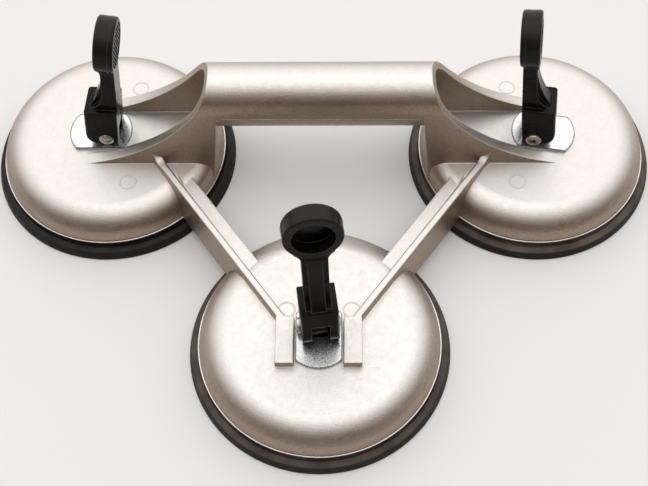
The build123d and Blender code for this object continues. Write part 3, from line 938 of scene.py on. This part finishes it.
class LIFTER_OT_levers(bpy.types.Operator):
    """Finish the levers and add their thumb grips, mould seams and necks"""

    bl_idname = "lifter.levers"
    bl_label = "Cam levers"

    def execute(self, context):
        looks = context.scene.lifter_lever
        material = moulded_plastic(looks)
        dress([f"{cup}_cam_lever" for cup in CUPS], material)
        for cup in CUPS:
            self.thumb_grip(cup, looks, material)
            self.seam(cup, looks, material)
            self.neck(cup, looks, material)
        return {"FINISHED"}

    def placed(self, cup, outward, across, up):
        """Points of an upright lever (outward, across, up from the pin), leaned inward and put on its pin."""
        joint = JOINTS[f"{cup}_lever_swing"]
        axis = np.array(joint["axis"])
        ahead = np.array([axis[1], -axis[0], 0.0])
        lift = np.array([0.0, 0.0, 1.0])
        leaned_out = outward * math.cos(LEAN) - up * math.sin(LEAN)
        leaned_up = outward * math.sin(LEAN) + up * math.cos(LEAN)
        place = np.array(joint["pos_m"]) + leaned_out[..., None] * ahead
        return place + across[..., None] * axis + leaned_up[..., None] * lift

    def thumb_grip(self, cup, looks, material):
        """A round patch on the head's inward face with two crossing sets of slanted ribs.

        The height is the larger of two rounded waves that cross in long diamonds, over a thin web, and it
        fades out at the patch's edge. The back is a flat cone sunk into the head.
        """
        innermost = 0.02
        rib_power = 0.7
        web = 0.1
        fade_width = 0.5 * MM
        edge_sink = 0.05 * MM
        back_sink = 0.3 * MM
        radius = np.linspace(innermost, 1, GRIP_STEPS[0])[:, None] * looks.grip_radius
        angle = round_steps(GRIP_STEPS[1])[None, :]
        across = radius * np.cos(angle)
        up = radius * np.sin(angle)
        level = across * math.cos(looks.rib_tilt)
        slant = up * math.sin(looks.rib_tilt)
        first = np.cos(FULL_TURN * (level + slant) / looks.rib_pitch)
        second = np.cos(FULL_TURN * (level - slant) / looks.rib_pitch)
        ribs = np.clip(np.maximum(first, second), 0, 1) ** rib_power
        fade = np.clip((looks.grip_radius - radius) / fade_width, 0, 1)
        floor = looks.face + looks.recess
        out = floor - looks.rib_height * (web + (1 - web) * ribs) * fade + edge_sink * (1 - fade)
        rings = self.placed(cup, out, across, looks.head_distance + up)
        back_middle = np.array([[floor + back_sink], [0.0], [looks.head_distance]])
        back = self.placed(cup, *back_middle)[0]
        points, faces = closed_surface(rings, rings[0].mean(axis=0), back)
        piece = add_piece(f"{cup}_thumb_grip", points, faces, material)
        carry(piece, f"{cup}_lever", "black_plastic")

    def seam(self, cup, looks, material):
        """A fine bead round the head where the mould halves met: a thin ring of oval section."""
        width_share = 1.5
        angle = round_steps(SEAM_STEPS[0])[:, None]
        around = round_steps(SEAM_STEPS[1])[None, :]
        radius = looks.head_radius + looks.seam_height * np.cos(around)
        out = looks.seam + width_share * looks.seam_height * np.sin(around) + 0 * angle
        up = looks.head_distance + radius * np.sin(angle)
        rings = self.placed(cup, out, radius * np.cos(angle), up)
        carry(add_ring(f"{cup}_head_seam", rings, material), f"{cup}_lever", "black_plastic")

    def neck(self, cup, looks, material):
        """The arm's flare under the head: a rectangle that widens and thickens towards the head.

        Its sides follow arcs that touch the arm's sides and the head's round. Its front moves out from
        inside the arm by s s (3 - 2 s), where s is the share of the flare's height.
        """
        inset = 0.05 * MM
        sink = 0.3 * MM
        side = looks.arm_width / 2 - inset
        reach = looks.head_radius + looks.neck_round
        turn = math.asin((side + looks.neck_round) / reach)
        arc_middle = -reach * math.cos(turn)
        up = np.linspace(arc_middle - looks.neck_run, -looks.head_radius * math.cos(turn), NECK_STEPS)
        above = np.clip(up - arc_middle, 0, None)
        half = side + looks.neck_round - np.sqrt(looks.neck_round ** 2 - above ** 2)
        share = (up - up[0]) / (up[-1] - up[0])
        sunk = looks.arm_face - sink
        front = sunk + (looks.neck_step + sink) * eased(share)
        back = np.full_like(up, sunk - sink)
        out = np.stack([back, front, front, back], axis=-1)
        across = np.stack([-half, -half, half, half], axis=-1)
        height = np.broadcast_to(looks.head_distance + up[:, None], out.shape)
        rings = self.placed(cup, out, across, height)
        points, faces = closed_surface(rings, rings[0].mean(axis=0), rings[-1].mean(axis=0))
        piece = add_piece(f"{cup}_lever_neck", points, faces, material, smooth=False)
        carry(piece, f"{cup}_lever", "black_plastic")


class LIFTER_OT_fittings(bpy.types.Operator):
    """Finish the wear plates, rivets, pull studs and backing discs"""

    bl_idname = "lifter.fittings"
    bl_label = "Plates, rivets and studs"

    def execute(self, context):
        looks = context.scene.lifter_fittings
        # The zinc plates get painted shade on their edges.
        zinc = plain_metal(
            "zinc_plate_finish", looks.plate, looks.plate_roughness, looks.plate_grain,
            edge=looks.plate_rounding, edge_shade=looks.plate_edge_shade)
        rivet = plain_metal("rivet_steel_finish", looks.rivet, looks.rivet_roughness, looks.rivet_grain)
        steel = plain_metal(
            "steel_finish", looks.steel, looks.steel_roughness, looks.steel_grain, stretch=(1, 1, 4))
        dress([f"{cup}_wear_plate" for cup in CUPS], zinc)
        dress([f"{cup}_rivet_pin" for cup in CUPS], rivet)
        dress([f"{cup}_{piece}" for cup in CUPS for piece in ("pull_stud", "backing_disc")], steel)
        return {"FINISHED"}


class LIFTER_OT_stage(bpy.types.Operator):
    """Set the floor, the soft light and the camera"""

    bl_idname = "lifter.stage"
    bl_label = "Stage"

    def execute(self, context):
        stage = context.scene.lifter_stage
        self.floor(stage)
        self.sky(context.scene, stage)
        self.lamp(context.scene, stage)
        self.camera(context.scene, stage)
        context.scene.view_settings.view_transform = "Standard"
        return {"FINISHED"}

    def floor(self, stage):
        """A large pale square a hair under the pads."""
        material, _, shader = new_finish("floor_finish")
        shader["Base Color"].default_value = (*stage.floor, 1)
        shader["Roughness"].default_value = 0.9
        shader["Specular IOR Level"].default_value = 0.1
        half = stage.floor_size / 2
        gap = 0.05 * MM
        z = cad_box[0].z - gap
        points = np.array([(-half, -half, z), (half, -half, z), (half, half, z), (-half, half, z)])
        add_piece("floor", points, [(0, 1, 2, 3)], material, smooth=False)

    def sky(self, scene, stage):
        """Soft light that is bright overhead and behind, and falls off to a dim room.

        The share of sky grows with the cosine between a direction, with its X scaled, and the sky's middle.
        """
        world = bpy.data.worlds.new("studio")
        world.use_nodes = True
        graph = NodeGraph(world.node_tree)
        place = graph.output("ShaderNodeTexCoord", "Generated")
        scaled = graph.worked("ShaderNodeVectorMath", "MULTIPLY", "Vector", place, (stage.sky_width, 1, 1))
        direction = graph.worked("ShaderNodeVectorMath", "NORMALIZE", "Vector", scaled)
        cosine = graph.dot(direction, Vector(stage.sky_middle).normalized())
        share = graph.ranged(cosine, 0, 1, start=stage.sky_edge, end=stage.sky_full)
        colour = graph.mixed(share, stage.room, stage.sky)
        graph.put(colour, world.node_tree.nodes["Background"].inputs["Color"])
        scene.world = world

    def lamp(self, scene, stage):
        """One square soft lamp overhead, a little towards the back."""
        light = bpy.data.lights.new("soft_lamp", "AREA")
        light.shape = "SQUARE"
        light.size = stage.lamp_size
        light.energy = stage.lamp_power
        lamp = bpy.data.objects.new("soft_lamp", light)
        lamp.location = stage.lamp_place
        lamp.rotation_mode = "QUATERNION"
        lamp.rotation_quaternion = (-Vector(stage.lamp_place)).to_track_quat("-Z", "Y")
        scene.collection.objects.link(lamp)

    def camera(self, scene, stage):
        """The view from above the front cup, turned a little about its own axis."""
        lens = bpy.data.cameras.new("camera")
        lens.lens = stage.lens
        lens.sensor_width = 36
        lens.clip_start = 0.01
        eye = bpy.data.objects.new("camera", lens)
        eye.location = stage.eye
        look = (Vector(stage.target) - Vector(stage.eye)).to_track_quat("-Z", "Y")
        eye.rotation_mode = "QUATERNION"
        eye.rotation_quaternion = look @ Quaternion((0, 0, 1), stage.roll)
        scene.collection.objects.link(eye)
        scene.camera = eye


class LIFTER_PT_panel(bpy.types.Panel):
    """Buttons for each group of pieces, with its sizes and colours"""

    bl_idname = "LIFTER_PT_panel"
    bl_label = "Suction cup lifter"
    bl_space_type = "VIEW_3D"
    bl_region_type = "UI"
    bl_category = "Lifter"

    def draw(self, context):
        for operator, (name, group) in zip(OPERATORS, GROUPS.items()):
            box = self.layout.box()
            box.operator(operator.bl_idname)
            for setting in group.__annotations__:
                box.prop(getattr(context.scene, name), setting)


GROUPS = {
    "lifter_casting": LifterCasting,
    "lifter_pad": LifterPad,
    "lifter_spring": LifterSpring,
    "lifter_lever": LifterLever,
    "lifter_fittings": LifterFittings,
    "lifter_stage": LifterStage,
}
OPERATORS = (
    LIFTER_OT_casting,
    LIFTER_OT_pads,
    LIFTER_OT_springs,
    LIFTER_OT_levers,
    LIFTER_OT_fittings,
    LIFTER_OT_stage,
)
CLASSES = (*GROUPS.values(), *OPERATORS, LIFTER_PT_panel)


def register():
    """Adds the classes, and puts each group of settings on the scene."""
    for shown in CLASSES:
        bpy.utils.register_class(shown)
    for name, group in GROUPS.items():
        setattr(bpy.types.Scene, name, PointerProperty(type=group))


def unregister():
    """Takes the settings and the classes away again."""
    for name in GROUPS:
        delattr(bpy.types.Scene, name)
    for shown in reversed(CLASSES):
        bpy.utils.unregister_class(shown)


def main():
    """Makes the pieces and the stage."""
    register()
    bpy.ops.lifter.casting()
    bpy.ops.lifter.pads()
    bpy.ops.lifter.springs()
    bpy.ops.lifter.levers()
    bpy.ops.lifter.fittings()
    bpy.ops.lifter.stage()


if __name__ == "__main__":
    main()
